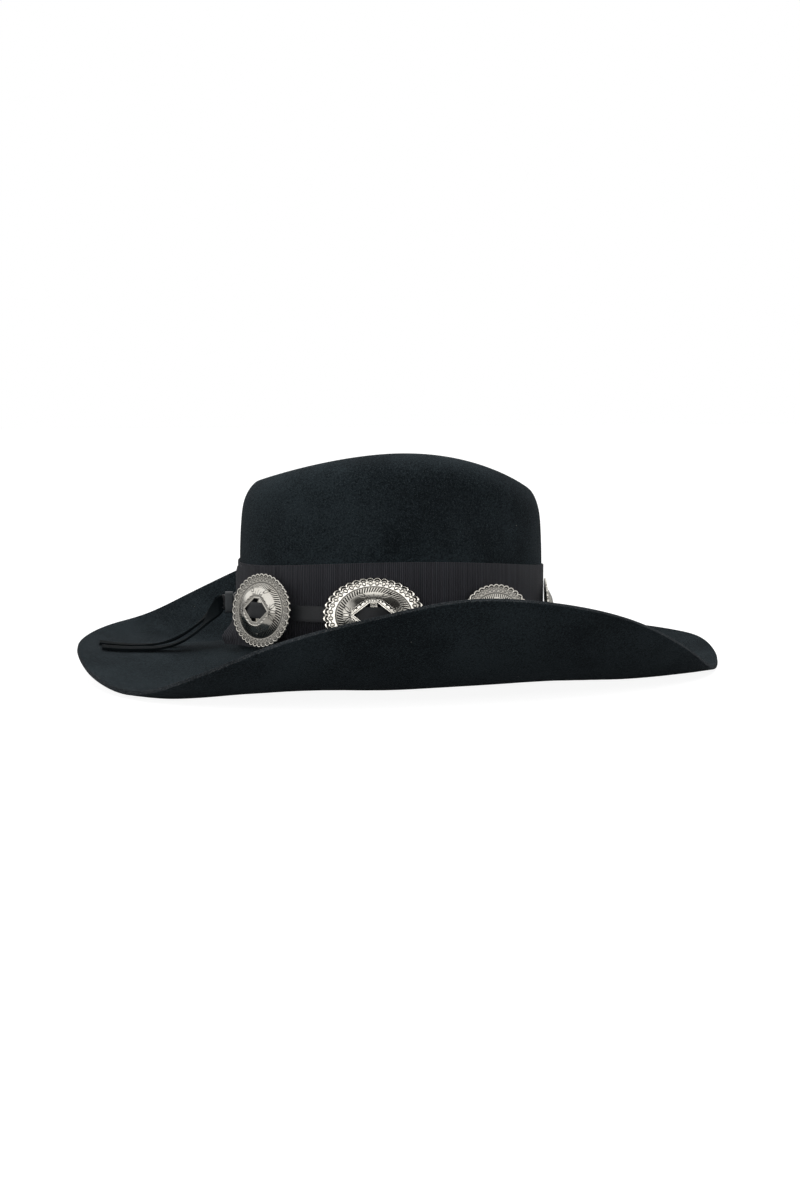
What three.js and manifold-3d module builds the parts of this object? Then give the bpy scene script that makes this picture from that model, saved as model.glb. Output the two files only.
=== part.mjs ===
// A wide-brim felt hat with a dented crown, a grosgrain band and a leather strap of seven silver conchos.
// Millimetres. +Z is up, +X is the front of the hat and z = 0 is the surface that the brim rests on.
import * as THREE from "three";
import { mergeVertices } from "three/addons/utils/BufferGeometryUtils.js";
import Module from "manifold-3d";

const wasm = await Module();
wasm.setup();

// The crown is centred this far behind the middle of the brim, because the brim is longer in front
const CROWN_X = -8.4;
const GAP = 0.3;
const TURN_STEPS = 64;

// Felt body
const FELT = 3;
const CROWN_LENGTH = 204;
const CROWN_WIDTH = 166.8;
const CREST_PEAK = 143.8;
const CREST_PEAK_X = 1.8;
const CREST_FALL = { back: 0.00597, backPower: 1.74, front: 0.00143, frontPower: 2.152 };
const CREST_LEAN = 0.06;
const CREST_ASKEW = 0.2;
const BACK_TIGHTER = 0.36;
const FRONT_TIGHTER = 0.62;
const SIDES_WIDER = 0.4;
const DENT_DEPTH = 24;
const DENT_X = -6;
const BRIM_FRONT = 225.1;
const BRIM_BACK = 208.7;
const BRIM_HALF_WIDTH = 170;
const BREAK_REACH = 3;
const BREAK_DROP = 3.6;
const CURL_POWER = 1.5;
const PINCH = { x: 36, z: 113, depth: 6, length: 34, height: 15, slant: -0.45 };

// Rings of the dented top, as a share of the way from the middle of the dent to the crest
const DENT_RINGS = [0.3, 0.55, 0.76, 0.9];

// The rounded rim, from its crest down: how far below the crest and how far inside the crown's foot
const RIM_RINGS = [
  { drop: 0, inset: 21 },
  { drop: 1.5, inset: 15 },
  { drop: 4.5, inset: 9.8 },
  { drop: 9, inset: 5.6 },
  { drop: 15, inset: 2.8 },
];
const WALL_RINGS = [0.33, 0.66, 1];
const WALL_POWER = 1.8;

// The brim every 15 degrees from the front, over the far side first: height of the edge, height of the
// lowest place and where that lies, as a share of the way from the crown to the edge
const BRIM = [
  { angle: 0, edge: 13.2, dip: 1.9, dipAt: 0.62 },
  { angle: 15, edge: 13.6, dip: 1.9, dipAt: 0.67 },
  { angle: 30, edge: 14.5, dip: 1.9, dipAt: 0.7 },
  { angle: 45, edge: 22.8, dip: 4.4, dipAt: 0.58 },
  { angle: 60, edge: 37, dip: 7, dipAt: 0.45 },
  { angle: 75, edge: 57, dip: 7.5, dipAt: 0.4 },
  { angle: 90, edge: 71, dip: 7, dipAt: 0.38 },
  { angle: 105, edge: 60.4, dip: 3.8, dipAt: 0.4 },
  { angle: 120, edge: 42.5, dip: 1.9, dipAt: 0.45 },
  { angle: 135, edge: 27.6, dip: 7, dipAt: 0.55 },
  { angle: 150, edge: 24.6, dip: 13, dipAt: 0.65 },
  { angle: 165, edge: 22, dip: 15.8, dipAt: 0.68 },
  { angle: 180, edge: 19.5, dip: 15.5, dipAt: 0.7 },
  { angle: 195, edge: 9.8, dip: 7, dipAt: 0.8 },
  { angle: 210, edge: 6, dip: 1.9, dipAt: 0.86 },
  { angle: 225, edge: 21.8, dip: 6.5, dipAt: 0.68 },
  { angle: 240, edge: 43, dip: 8.3, dipAt: 0.48 },
  { angle: 255, edge: 57.2, dip: 7, dipAt: 0.4 },
  { angle: 270, edge: 67, dip: 7.4, dipAt: 0.38 },
  { angle: 285, edge: 62, dip: 7.6, dipAt: 0.4 },
  { angle: 300, edge: 48.2, dip: 7, dipAt: 0.45 },
  { angle: 315, edge: 26.6, dip: 4.4, dipAt: 0.6 },
  { angle: 330, edge: 6.3, dip: 1.9, dipAt: 0.72 },
  { angle: 345, edge: 7.2, dip: 1.9, dipAt: 0.68 },
];
const SEARCH_TURNS = 60;
const BRIM_RINGS = [0.1, 0.22, 0.36, 0.5, 0.62, 0.74, 0.87, 1];

// Grosgrain band: its top edge is a saddle, higher at the sides and a little lower in front
const RIBBON = 1;
const RIBBON_WIDTH = 54.5;
const RIBBON_TOP = { middle: 72, sides: 8, front: -2.5 };

// Conchos and their strap: each concho's angle round the crown, the height of its middle, how far it is
// turned away from the crown's own direction, how far it leans at least and how far it stands off
const CONCHOS = [
  { angle: -152, height: 47.5, turn: -9, lean: 8, off: 2.8 },
  { angle: -108.5, height: 47.5, turn: 0, lean: 8, off: 0 },
  { angle: -64, height: 40.5, turn: 5, lean: 6, off: 0.8 },
  { angle: -14, height: 36.5, turn: 0, lean: 3, off: 0 },
  { angle: 33, height: 39, turn: 0, lean: 4, off: 0 },
  { angle: 80, height: 45, turn: 0, lean: 6, off: 0 },
  { angle: 126, height: 46.5, turn: 0, lean: 6, off: 0 },
];
const CONCHO = { width: 63, height: 47, plate: 1, dome: 6, domeShare: 0.8, foot: 0.02, steps: 32 };
// The hole is a diamond with its top and bottom tips cut off level
const HOLE = { halfWidth: 12.4, slopeHeight: 9.6, halfHeight: 7.4 };
const BAR = { width: 4.5, thickness: 1.2, depth: 2, length: 35 };
const CONCHO_GAP = 0.7;
// How a concho leans: the room under its lower rim, the steepest lean and the slope of the brim's break
const LEAN = { clear: 0.8, most: 20, step: 0.5, breakSlope: 1.1 };
const STRAP = 1.5;
const STRAP_WIDTH = 10;
const STRAP_GAP = 0.2;
const STRAP_OVER_BAR = { lift: 3.1, reach: 18 };
const STRAP_TURNS = { even: 56, clearOfBar: 21, overBar: [-18, -13, -9, -5, -2, 2, 5, 9, 13, 18] };
const TIE = { angle: 172, halfSpan: 6, height: 46.5, lift: 1.2, liftSpread: 15 };
// Where the two ends leave the tie: how far out and how far they have turned from standing (0) to lying (1)
const TAIL_ROOT = [
  { out: 1, turn: 0 },
  { out: 7.3, turn: 0 },
  { out: 9.5, turn: 0.12 },
];
const TAIL_REST = 0.8 + STRAP / 2;
const WRAP = { start: 1.5, end: 6.6, thickness: 1.9, slack: 0.5, roundness: 0.5, steps: 16 };

const rad = THREE.MathUtils.degToRad;
const lerp = THREE.MathUtils.lerp;

// Value of a table's column at any angle, by a smooth closed curve through its rows
function around(rows, column, angle) {
  const step = (2 * Math.PI) / rows.length;
  const place = (((angle % (2 * Math.PI)) + 2 * Math.PI) % (2 * Math.PI)) / step;
  const first = Math.floor(place);
  const s = place - first;
  const [a, b, c, d] = [-1, 0, 1, 2].map((k) => rows[(first + k + rows.length) % rows.length][column]);
  return b + 0.5 * s * (c - a + s * (2 * a - 5 * b + 4 * c - d + s * (3 * (b - c) + d - a)));
}

// A level that is highest at the hat's sides and tilts towards its front
function saddle(line, angle) {
  return line.middle + line.sides * Math.sin(angle) ** 2 + line.front * Math.cos(angle);
}

const ribbonTop = (angle) => saddle(RIBBON_TOP, angle);
const ribbonFoot = (angle) => ribbonTop(angle) - RIBBON_WIDTH;

// Outward direction of the crown's oval, level with the floor
function outward(angle) {
  return new THREE.Vector3(CROWN_WIDTH * Math.cos(angle), CROWN_LENGTH * Math.sin(angle), 0).normalize();
}

// A point beside the crown's foot oval, a given distance outside it
function besideCrown(angle, distance, z) {
  const point = new THREE.Vector3(
    (CROWN_LENGTH / 2) * Math.cos(angle),
    (CROWN_WIDTH / 2) * Math.sin(angle),
    z,
  );
  return point.addScaledVector(outward(angle), distance);
}

// Height of the dented top's crest. As creased by hand, it leans a little away from the near side, and its
// two sides lie a little askew
function crest(x, y) {
  const beside = x - CREST_ASKEW * y - CREST_PEAK_X;
  const power = beside > 0 ? CREST_FALL.frontPower : CREST_FALL.backPower;
  const fall = beside > 0 ? CREST_FALL.front : CREST_FALL.back;
  return CREST_PEAK - fall * Math.abs(beside) ** power - CREST_LEAN * y;
}

// Moves a point of the crown's wall inwards by the shallow dent at each side of the front
function pinched(point, angle) {
  const along = point.x - PINCH.x;
  const above = point.z - PINCH.z;
  const u = (along * Math.cos(PINCH.slant) + above * Math.sin(PINCH.slant)) / PINCH.length;
  const v = (above * Math.cos(PINCH.slant) - along * Math.sin(PINCH.slant)) / PINCH.height;
  const depth = PINCH.depth * Math.exp(-u * u - v * v) * Math.abs(Math.sin(angle)) ** 0.5;
  return point.addScaledVector(outward(angle), -depth);
}

// The rim is tighter at the back and the front of the crown than at its sides
function rimInset(angle, inset) {
  const tighter = lerp(BACK_TIGHTER, FRONT_TIGHTER, (1 + Math.cos(angle)) / 2) * Math.cos(angle) ** 2;
  return inset * (1 - tighter) * (1 + SIDES_WIDER * Math.sin(angle) ** 2);
}

function rimPoint(angle, ring) {
  const point = besideCrown(angle, -rimInset(angle, ring.inset), 0);
  point.z = crest(point.x, point.y) - ring.drop;
  return pinched(point, angle);
}

function dentPoint(angle, share) {
  const middle = new THREE.Vector3(DENT_X, 0, crest(DENT_X, 0));
  const point = rimPoint(angle, RIM_RINGS[0]).lerp(middle, 1 - share);
  point.z -= DENT_DEPTH * (1 - share * share) ** 1.5;
  return point;
}

function wallPoint(angle, share) {
  const last = RIM_RINGS[RIM_RINGS.length - 1];
  const start = rimPoint(angle, last);
  const point = besideCrown(angle, -rimInset(angle, last.inset) * (1 - share) ** WALL_POWER, 0);
  point.z = lerp(start.z, ribbonTop(angle), share);
  return pinched(point, angle);
}

// Top face of the brim, from the crown (share 0) to the edge (share 1)
function brimPoint(angle, share) {
  const length = Math.cos(angle) > 0 ? BRIM_FRONT : BRIM_BACK;
  const edge = new THREE.Vector3(length * Math.cos(angle), BRIM_HALF_WIDTH * Math.sin(angle), 0);
  const start = besideCrown(angle, BREAK_REACH, ribbonFoot(angle) - BREAK_DROP);
  const dip = around(BRIM, "dip", angle);
  const dipAt = around(BRIM, "dipAt", angle);
  const point = start.clone().lerp(edge, share);
  point.z =
    share < dipAt
      ? dip + (start.z - dip) * (1 - share / dipAt) ** 2
      : dip + (around(BRIM, "edge", angle) - dip) * ((share - dipAt) / (1 - dipAt)) ** CURL_POWER;
  return point;
}

// Height of the brim's top face over a place of the floor plan
function brimHeight(x, y) {
  let share = 0.5;
  let angle = 0;
  for (let turn = 0; turn < SEARCH_TURNS; turn += 1) {
    const length = lerp(CROWN_LENGTH / 2 + BREAK_REACH, x > 0 ? BRIM_FRONT : BRIM_BACK, share);
    const width = lerp(CROWN_WIDTH / 2 + BREAK_REACH, BRIM_HALF_WIDTH, share);
    angle = Math.atan2(y / width, x / length);
    share += Math.hypot(x / length, y / width) - 1;
  }
  return brimPoint(angle, share).z;
}

function ringOf(pointAt, steps = TURN_STEPS) {
  return Array.from({ length: steps }, (_, k) => pointAt((2 * Math.PI * k) / steps));
}

// Closed mesh through loops of equal length. Its ends are closed in one of three ways: "joined" carries the
// last loop on to the first, "fan" covers each end from its middle, and "strip" from side to side.
function skin(loops, ends) {
  const count = loops[0].length;
  const points = loops.flat();
  const faces = [];
  const strips = ends === "joined" ? loops.length : loops.length - 1;
  for (let i = 0; i < strips; i += 1) {
    const low = i * count;
    const high = ((i + 1) % loops.length) * count;
    for (let k = 0; k < count; k += 1) {
      const next = (k + 1) % count;
      faces.push([low + k, low + next, high + next], [low + k, high + next, high + k]);
    }
  }
  if (ends !== "joined") {
    const cover = ends === "fan" ? fan : strip;
    const last = (loops.length - 1) * count;
    faces.push(...cover(points, count, 0).map(([a, b, c]) => [a, c, b]), ...cover(points, count, last));
  }
  return outwardFacing(points, faces);
}

function fan(points, count, first) {
  const middle = points.length;
  const loop = points.slice(first, first + count);
  points.push(loop.reduce((sum, p) => sum.add(p), new THREE.Vector3()).divideScalar(count));
  return loop.map((_, k) => [first + k, first + ((k + 1) % count), middle]);
}

function strip(points, count, first) {
  const faces = [];
  for (let k = 0; k < count / 2 - 1; k += 1) {
    const across = first + count - 1 - k;
    faces.push([first + k, first + k + 1, across - 1], [first + k, across - 1, across]);
  }
  return faces;
}

// Geometry of a closed mesh, its faces turned so that they point out
function outwardFacing(points, faces) {
  let volume = 0;
  for (const [a, b, c] of faces) {
    volume += points[a].dot(new THREE.Vector3().crossVectors(points[b], points[c]));
  }
  const geometry = new THREE.BufferGeometry().setFromPoints(points);
  geometry.setIndex(faces.flatMap(([a, b, c]) => (volume > 0 ? [a, b, c] : [a, c, b])));
  return geometry;
}

// Inner face of a shell: each point moved back along the surface's normal
function innerLoops(loops, thickness) {
  const count = loops[0].length;
  return loops.map((loop, i) =>
    loop.map((point, k) => {
      const above = loops[Math.max(i - 1, 0)][k];
      const below = loops[Math.min(i + 1, loops.length - 1)][k];
      const left = loop[(k + count - 1) % count];
      const right = loop[(k + 1) % count];
      const down = new THREE.Vector3().subVectors(below, above);
      const across = new THREE.Vector3().subVectors(right, left);
      const inner = point.clone().addScaledVector(down.cross(across).normalize(), -thickness);
      inner.z = Math.max(inner.z, 0);
      return inner;
    }),
  );
}

function feltBody() {
  const outer = [
    ...DENT_RINGS.map((share) => ringOf((angle) => dentPoint(angle, share))),
    ...RIM_RINGS.map((ring) => ringOf((angle) => rimPoint(angle, ring))),
    ...WALL_RINGS.map((share) => ringOf((angle) => wallPoint(angle, share))),
    ringOf((angle) => besideCrown(angle, 0, ribbonFoot(angle))),
    ringOf((angle) => brimPoint(angle, 0)),
    ...BRIM_RINGS.map((share) => ringOf((angle) => brimPoint(angle, share))),
  ];
  return skin([...outer, ...innerLoops(outer, FELT).reverse()], "fan");
}

const ribbonOuter = GAP + RIBBON;

function ribbonBand() {
  const loop = (distance, level) => ringOf((angle) => besideCrown(angle, distance, level(angle)));
  const top = (angle) => ribbonTop(angle) - GAP;
  const foot = (angle) => ribbonFoot(angle) + GAP;
  return skin([loop(ribbonOuter, top), loop(ribbonOuter, foot), loop(GAP, foot), loop(GAP, top)], "joined");
}

const conchoAngle = (index) => rad(CONCHOS[index].angle);

// Angle from the tie, from minus half a turn to half a turn
const fromTie = (angle) => Math.atan2(Math.sin(angle - rad(TIE.angle)), Math.cos(angle - rad(TIE.angle)));

// How far a concho leans, its foot outwards, so that its lower rim stands clear of the brim
function leanOf({ angle, height, lean: least }) {
  const turn = rad(angle);
  let lean = least;
  let felt = Infinity;
  let rim = 0;
  while (rim < felt + LEAN.clear && lean < LEAN.most) {
    lean += LEAN.step;
    const reach = ribbonOuter + CONCHO_GAP + CONCHO.height * Math.sin(rad(lean));
    const place = besideCrown(turn, reach, 0);
    rim = height - (CONCHO.height / 2) * Math.cos(rad(lean));
    felt = Math.max(brimHeight(place.x, place.y), ribbonFoot(turn) - reach * LEAN.breakSlope);
  }
  return rad(lean);
}

// The strap's course: its height, lean and stand-off at each concho and at the tie, which is at either end
const COURSE = [
  { angle: TIE.angle - 360, height: TIE.height, lean: 0, off: 0 },
  ...CONCHOS.map((row) => ({ ...row, lean: leanOf(row) })),
  { angle: TIE.angle, height: TIE.height, lean: 0, off: 0 },
];

function onCourse(column, angle) {
  const turn = fromTie(angle) + rad(TIE.angle);
  const degrees = THREE.MathUtils.radToDeg(turn > rad(TIE.angle) ? turn - 2 * Math.PI : turn);
  const next = Math.max(1, COURSE.findIndex((row) => row.angle >= degrees));
  const [a, b] = [COURSE[next - 1], COURSE[next]];
  const share = (degrees - a.angle) / (b.angle - a.angle);
  return lerp(a[column], b[column], 0.5 - 0.5 * Math.cos(Math.PI * share));
}

// Frame of the strap line: a place on it, the way along it, the way out of its face and the way up its width
function strapFrame(angle) {
  const lean = onCourse("lean", angle);
  const out = outward(angle);
  const step = 0.01;
  const level = (a) => besideCrown(a, ribbonOuter, onCourse("height", a));
  const along = level(angle + step).sub(level(angle - step)).normalize();
  const face = out.clone().multiplyScalar(Math.cos(lean)).addScaledVector(new THREE.Vector3(0, 0, 1), Math.sin(lean));
  const up = new THREE.Vector3().crossVectors(face, along).normalize();
  const lift = TIE.lift * Math.exp(-((fromTie(angle) / rad(TIE.liftSpread)) ** 2));
  const off = CONCHO_GAP + (CONCHO.height / 2) * Math.sin(lean) + lift + onCourse("off", angle);
  return { point: level(angle).addScaledVector(out, off), along, face, up };
}

function ellipsePoint(share, turn) {
  return [(CONCHO.width / 2) * share * Math.cos(turn), (CONCHO.height / 2) * share * Math.sin(turn)];
}

// Share of the concho's oval at which the hole's edge lies
function holeShare(turn) {
  const [x, y] = ellipsePoint(1, turn).map(Math.abs);
  return 1 / Math.max(x / HOLE.halfWidth + y / HOLE.slopeHeight, y / HOLE.halfHeight);
}

const domeHeight = (share) =>
  CONCHO.plate + (CONCHO.dome - CONCHO.plate) * Math.sqrt(Math.max(0, 1 - (share / CONCHO.domeShare) ** 2));

function toManifold(geometry) {
  const plain = geometry.clone();
  plain.deleteAttribute("normal");
  plain.deleteAttribute("uv");
  const merged = mergeVertices(plain);
  return new wasm.Manifold(
    new wasm.Mesh({
      numProp: 3,
      vertProperties: new Float32Array(merged.attributes.position.array),
      triVerts: new Uint32Array(merged.index.array),
    }),
  );
}

function fromManifold(solid) {
  const mesh = solid.getMesh();
  const geometry = new THREE.BufferGeometry();
  geometry.setAttribute("position", new THREE.BufferAttribute(mesh.vertProperties.slice(), 3));
  geometry.setIndex(new THREE.BufferAttribute(mesh.triVerts.slice(), 1));
  return geometry;
}

// One concho, lying in its own XY plane with its face up, with the bar soldered across its back
function concho() {
  const ring = (shareAt, heightAt) =>
    ringOf((turn) => {
      const share = shareAt(turn);
      return new THREE.Vector3(...ellipsePoint(share, turn), heightAt(share));
    }, CONCHO.steps);
  const between = (part) => (turn) => lerp(holeShare(turn), CONCHO.domeShare - CONCHO.foot, part);
  const back = (share) => domeHeight(share) - CONCHO.plate;
  const plate = skin(
    [
      ring(holeShare, domeHeight),
      ring(between(0.6), domeHeight),
      ring(between(1), domeHeight),
      ring(() => 1, domeHeight),
      ring(() => 1, back),
      ring(between(1), back),
      ring(between(0.6), back),
      ring(holeShare, back),
    ],
    "joined",
  );
  const bar = new THREE.BoxGeometry(BAR.width, BAR.length, BAR.thickness);
  bar.translate(0, 0, BAR.depth);
  return fromManifold(toManifold(plate).add(toManifold(bar)));
}

// A flat band through its sections, each a middle, a way up its width and a way out of its face
function band(sections, width, thickness) {
  const loops = sections.map(({ point, up, face }) =>
    [
      [1, 1],
      [-1, 1],
      [-1, -1],
      [1, -1],
    ].map(([high, front]) =>
      point
        .clone()
        .addScaledVector(up, (high * width) / 2)
        .addScaledVector(face, (front * thickness) / 2),
    ),
  );
  return skin(loops, "strip");
}

// Places where the strap is shaped: evenly round the crown, and closer where it rises over a bar
function strapAngles() {
  const start = rad(TIE.angle - 360 + TIE.halfSpan);
  const end = rad(TIE.angle - TIE.halfSpan);
  const even = Array.from({ length: STRAP_TURNS.even }, (_, k) => lerp(start, end, k / (STRAP_TURNS.even - 1)));
  const overBars = CONCHOS.flatMap((_, index) =>
    STRAP_TURNS.overBar.map((u) => conchoAngle(index) + u / strapSpeed(conchoAngle(index))),
  );
  const clear = even.filter((angle) =>
    CONCHOS.every((_, index) => fromBar(angle, index) > STRAP_TURNS.clearOfBar),
  );
  return [...clear, ...overBars].sort((a, b) => a - b);
}

// Distance along the strap from the bar of one of the conchos
const fromBar = (angle, index) => Math.abs(angle - conchoAngle(index)) * strapSpeed(conchoAngle(index));

// Millimetres of strap for each radian of the oval's own angle
const strapSpeed = (angle) => Math.hypot((CROWN_LENGTH / 2) * Math.sin(angle), (CROWN_WIDTH / 2) * Math.cos(angle));

function strapSection(angle) {
  const frame = strapFrame(angle);
  let lift = 0;
  CONCHOS.forEach((_, index) => {
    const share = fromBar(angle, index) / STRAP_OVER_BAR.reach;
    if (share < 1) {
      lift = STRAP_OVER_BAR.lift * Math.cos((Math.PI / 2) * share) ** 2;
    }
  });
  frame.point.addScaledVector(frame.face, STRAP_GAP + STRAP / 2 + lift);
  return frame;
}

// The two ends of the strap behind the tie: places in plan, height above the brim and how far the strap
// has turned from standing (0) to lying (1). Past 1 its edge nearer the hat's front side is the higher one.
const UPPER_TAIL = [
  { x: -118.5, y: 17.2, rise: 23.2, turn: 0.68 },
  { x: -124.5, y: 19, rise: 16.6, turn: 1 },
  { x: -133, y: 20.5, rise: 9.5, turn: 1.05 },
  { x: -142, y: 22, rise: 4.2, turn: 1.1 },
  { x: -153, y: 24.5, rise: 0.4, turn: 1.05 },
  { x: -165, y: 27.5, rise: 0, turn: 1 },
  { x: -178, y: 29.5, rise: 0, turn: 1 },
  { x: -192, y: 31, rise: 0, turn: 1 },
];
const LOWER_TAIL = [
  { x: -118.5, y: 10.2, rise: 22.4, turn: 0.76 },
  { x: -124.5, y: 8, rise: 15.4, turn: 1.2 },
  { x: -133, y: 6.5, rise: 8.5, turn: 1.2 },
  { x: -142, y: 5.5, rise: 3.8, turn: 1.1 },
  { x: -153, y: 7.5, rise: 0.4, turn: 1.05 },
  { x: -165, y: 11, rise: 0, turn: 1 },
  { x: -178, y: 13, rise: 0, turn: 1 },
  { x: -192, y: 14, rise: 0, turn: 1 },
];

// Middle of the place where both ends of the strap turn away from the crown, side by side
const tieFrame = () => strapFrame(rad(TIE.angle));

function tailSections(rows, side) {
  const tie = tieFrame();
  const out = outward(rad(TIE.angle));
  const root = TAIL_ROOT.map((row) =>
    tie.point
      .clone()
      .addScaledVector(out, row.out)
      .addScaledVector(tie.along, side * (STRAP / 2 + GAP)),
  );
  const points = [
    ...root,
    ...rows.map((row) => new THREE.Vector3(row.x, row.y, brimHeight(row.x, row.y) + TAIL_REST + row.rise)),
  ];
  const turns = [...TAIL_ROOT, ...rows].map((row) => (row.turn * Math.PI) / 2);
  return points.map((point, i) => {
    const before = points[Math.max(i - 1, 0)];
    const after = points[Math.min(i + 1, points.length - 1)];
    const along = new THREE.Vector3().subVectors(after, before).normalize();
    const level = new THREE.Vector3(along.y, -along.x, 0).normalize();
    const standing = new THREE.Vector3().crossVectors(level, along);
    const turn = turns[i];
    const half = STRAP_WIDTH / 2;
    const far = brimHeight(point.x + level.x * half, point.y + level.y * half);
    const near = brimHeight(point.x - level.x * half, point.y - level.y * half);
    level.z = (turn * (far - near)) / STRAP_WIDTH;
    const up = standing.multiplyScalar(Math.cos(turn)).addScaledVector(level, Math.sin(turn)).normalize();
    const face = new THREE.Vector3().crossVectors(along, up).multiplyScalar(-side).normalize();
    return { point, up, face };
  });
}

function conchoStrap() {
  const round = strapAngles().map(strapSection);
  const first = tailSections(LOWER_TAIL, 1).reverse();
  const last = tailSections(UPPER_TAIL, -1);
  return band([...first, ...round, ...last], STRAP_WIDTH, STRAP);
}

// Short leather wrap round both ends of the strap
function tieWrap() {
  const tie = tieFrame();
  const out = outward(rad(TIE.angle));
  const side = STRAP + 2 * GAP;
  const loop = (distance, extra) =>
    ringOf((turn) => {
      const corner = (value) => Math.sign(value) * Math.abs(value) ** WRAP.roundness;
      return tie.point
        .clone()
        .addScaledVector(out, distance)
        .addScaledVector(tie.along, corner(Math.cos(turn)) * (side + extra))
        .addScaledVector(tie.up, corner(Math.sin(turn)) * (STRAP_WIDTH / 2 + GAP + extra));
    }, WRAP.steps);
  const { start, end, thickness, slack } = WRAP;
  return skin([loop(start, thickness), loop(end, thickness), loop(end, slack), loop(start, slack)], "joined");
}

// The ribbon's free end, from where it leaves the band to its cut: how far it has gone from the band to
// the strap, how much further its lower corner flares out, and the height of its top corner
const RIBBON_TAIL = [
  { angle: -148, loose: 0, flare: 0, top: 1 },
  { angle: -154, loose: 0, flare: 0, top: 1 },
  { angle: -160, loose: 0, flare: 0, top: 1 },
  { angle: -167, loose: 0.1, flare: 0.2, top: 1 },
  { angle: -172, loose: 0.3, flare: 2.5, top: 1 },
  { angle: -176, loose: 0.5, flare: 6.5, top: 0.97 },
  { angle: -180, loose: 0.7, flare: 11, top: 0.86 },
];
const RIBBON_TAIL_FLARE = [
  { height: 1, flare: 0 },
  { height: 0.75, flare: 0 },
  { height: 0.36, flare: 0 },
  { height: 0.24, flare: 0.4 },
  { height: 0.1, flare: 1 },
  { height: 0.01, flare: 0.8 },
];

function ribbonTail() {
  const loops = RIBBON_TAIL.map((section) => {
    const angle = rad(section.angle);
    const frame = strapFrame(angle);
    const strapOff = frame.point.clone().sub(besideCrown(angle, ribbonOuter, frame.point.z)).dot(outward(angle));
    const room = Math.max(strapOff + STRAP_GAP - 2 * GAP - RIBBON, GAP);
    const inner = ribbonOuter + lerp(GAP, room, section.loose);
    const column = (distance) =>
      RIBBON_TAIL_FLARE.map(({ height, flare }) => {
        const z = ribbonFoot(angle) + RIBBON_WIDTH * Math.min(height, section.top);
        return besideCrown(angle, distance + flare * section.flare, z - GAP + 2 * GAP * (1 - height));
      });
    return [...column(inner + RIBBON), ...column(inner).reverse()];
  });
  return skin(loops, "strip");
}

const FELT_BLACK = new THREE.MeshStandardMaterial({ color: 0x191d20, roughness: 0.95, metalness: 0 });
const RIBBON_BLACK = new THREE.MeshStandardMaterial({ color: 0x1d1d22, roughness: 0.75, metalness: 0 });
const LEATHER_BLACK = new THREE.MeshStandardMaterial({ color: 0x17191c, roughness: 0.5, metalness: 0 });
const SILVER = new THREE.MeshStandardMaterial({ color: 0xc9c5b8, roughness: 0.25, metalness: 1 });

const hat = new THREE.Group();
hat.position.x = CROWN_X;

function addPiece(name, geometry, material) {
  const mesh = new THREE.Mesh(geometry, material);
  mesh.name = name;
  hat.add(mesh);
  return mesh;
}

addPiece("felt_body", feltBody(), FELT_BLACK);
addPiece("ribbon_band", ribbonBand(), RIBBON_BLACK);
CONCHOS.forEach(({ turn }, index) => {
  const { point, face, up } = strapFrame(conchoAngle(index));
  const piece = addPiece(`concho_${index + 1}`, concho(), SILVER);
  const level = new THREE.Vector3().crossVectors(up, face).normalize();
  piece.position.copy(point);
  piece.quaternion.setFromRotationMatrix(new THREE.Matrix4().makeBasis(level, up, face));
  piece.rotateY(rad(turn));
});
addPiece("ribbon_tail", ribbonTail(), RIBBON_BLACK);
addPiece("concho_strap", conchoStrap(), LEATHER_BLACK);
addPiece("tie_wrap", tieWrap(), LEATHER_BLACK);

export default hat;
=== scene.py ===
"""Looks of a black felt wide-brim hat with a grosgrain band and a leather strap of seven silver conchos.

Metres, in the frame of the construction model: +X is the front of the hat, +Z is up and the brim rests at
z = 0. The photograph looks at the hat's -Y side, from a little behind it.
"""

import math

import bpy
import numpy as np
from mathutils import Matrix, Vector
from mathutils.bvhtree import BVHTree


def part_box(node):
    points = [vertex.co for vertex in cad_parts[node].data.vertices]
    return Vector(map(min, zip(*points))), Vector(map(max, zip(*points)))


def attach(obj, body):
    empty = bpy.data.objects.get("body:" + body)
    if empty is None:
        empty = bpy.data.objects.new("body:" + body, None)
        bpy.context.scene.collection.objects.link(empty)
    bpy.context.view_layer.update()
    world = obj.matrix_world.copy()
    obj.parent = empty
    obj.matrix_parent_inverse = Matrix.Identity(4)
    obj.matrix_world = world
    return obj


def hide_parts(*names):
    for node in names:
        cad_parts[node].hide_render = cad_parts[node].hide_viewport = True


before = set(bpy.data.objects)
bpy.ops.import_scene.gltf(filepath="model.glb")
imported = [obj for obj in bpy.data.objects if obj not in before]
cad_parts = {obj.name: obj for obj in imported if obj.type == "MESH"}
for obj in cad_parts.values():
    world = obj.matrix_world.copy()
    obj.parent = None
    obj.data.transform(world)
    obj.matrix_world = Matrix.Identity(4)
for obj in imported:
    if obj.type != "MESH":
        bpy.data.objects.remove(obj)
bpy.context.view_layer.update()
MM = 0.001
SCENE = bpy.context.scene

# Camera: where it looks, from which side and how high, and how many pixels of the photograph a metre covers
LOOK_AT = Vector((-0.009, 0.0, 0.046))
LOOK_FROM_SIDE = math.radians(-15)
LOOK_FROM_HEIGHT = math.radians(7)
CAMERA_AWAY = 1.2
PHOTO_HEIGHT = 1200
PHOTO_MIDDLE = (400, 600)
LOOK_AT_PIXEL = (391, 600)
PIXELS_PER_METRE = 1490
SENSOR = 36
NEAREST_SEEN = 0.01

# Meshes. Edges sharper than the cut corner stay sharp, vertices closer than the merge distance become one,
# and edges of the felt that are longer than LONG_WALL_EDGE are cut up first.
CUT_CORNER = math.radians(50)
MERGE = 2e-6
LONG_WALL_EDGE = 0.04
LONG_EDGE_CUTS = 3
SUBDIVISIONS = 2
BEVEL_SEGMENTS = 2
FELT_EDGE_ROUND = 0.0004
RIBBON_EDGE_ROUND = 0.00025
LEATHER_EDGE_ROUND = 0.0003
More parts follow.
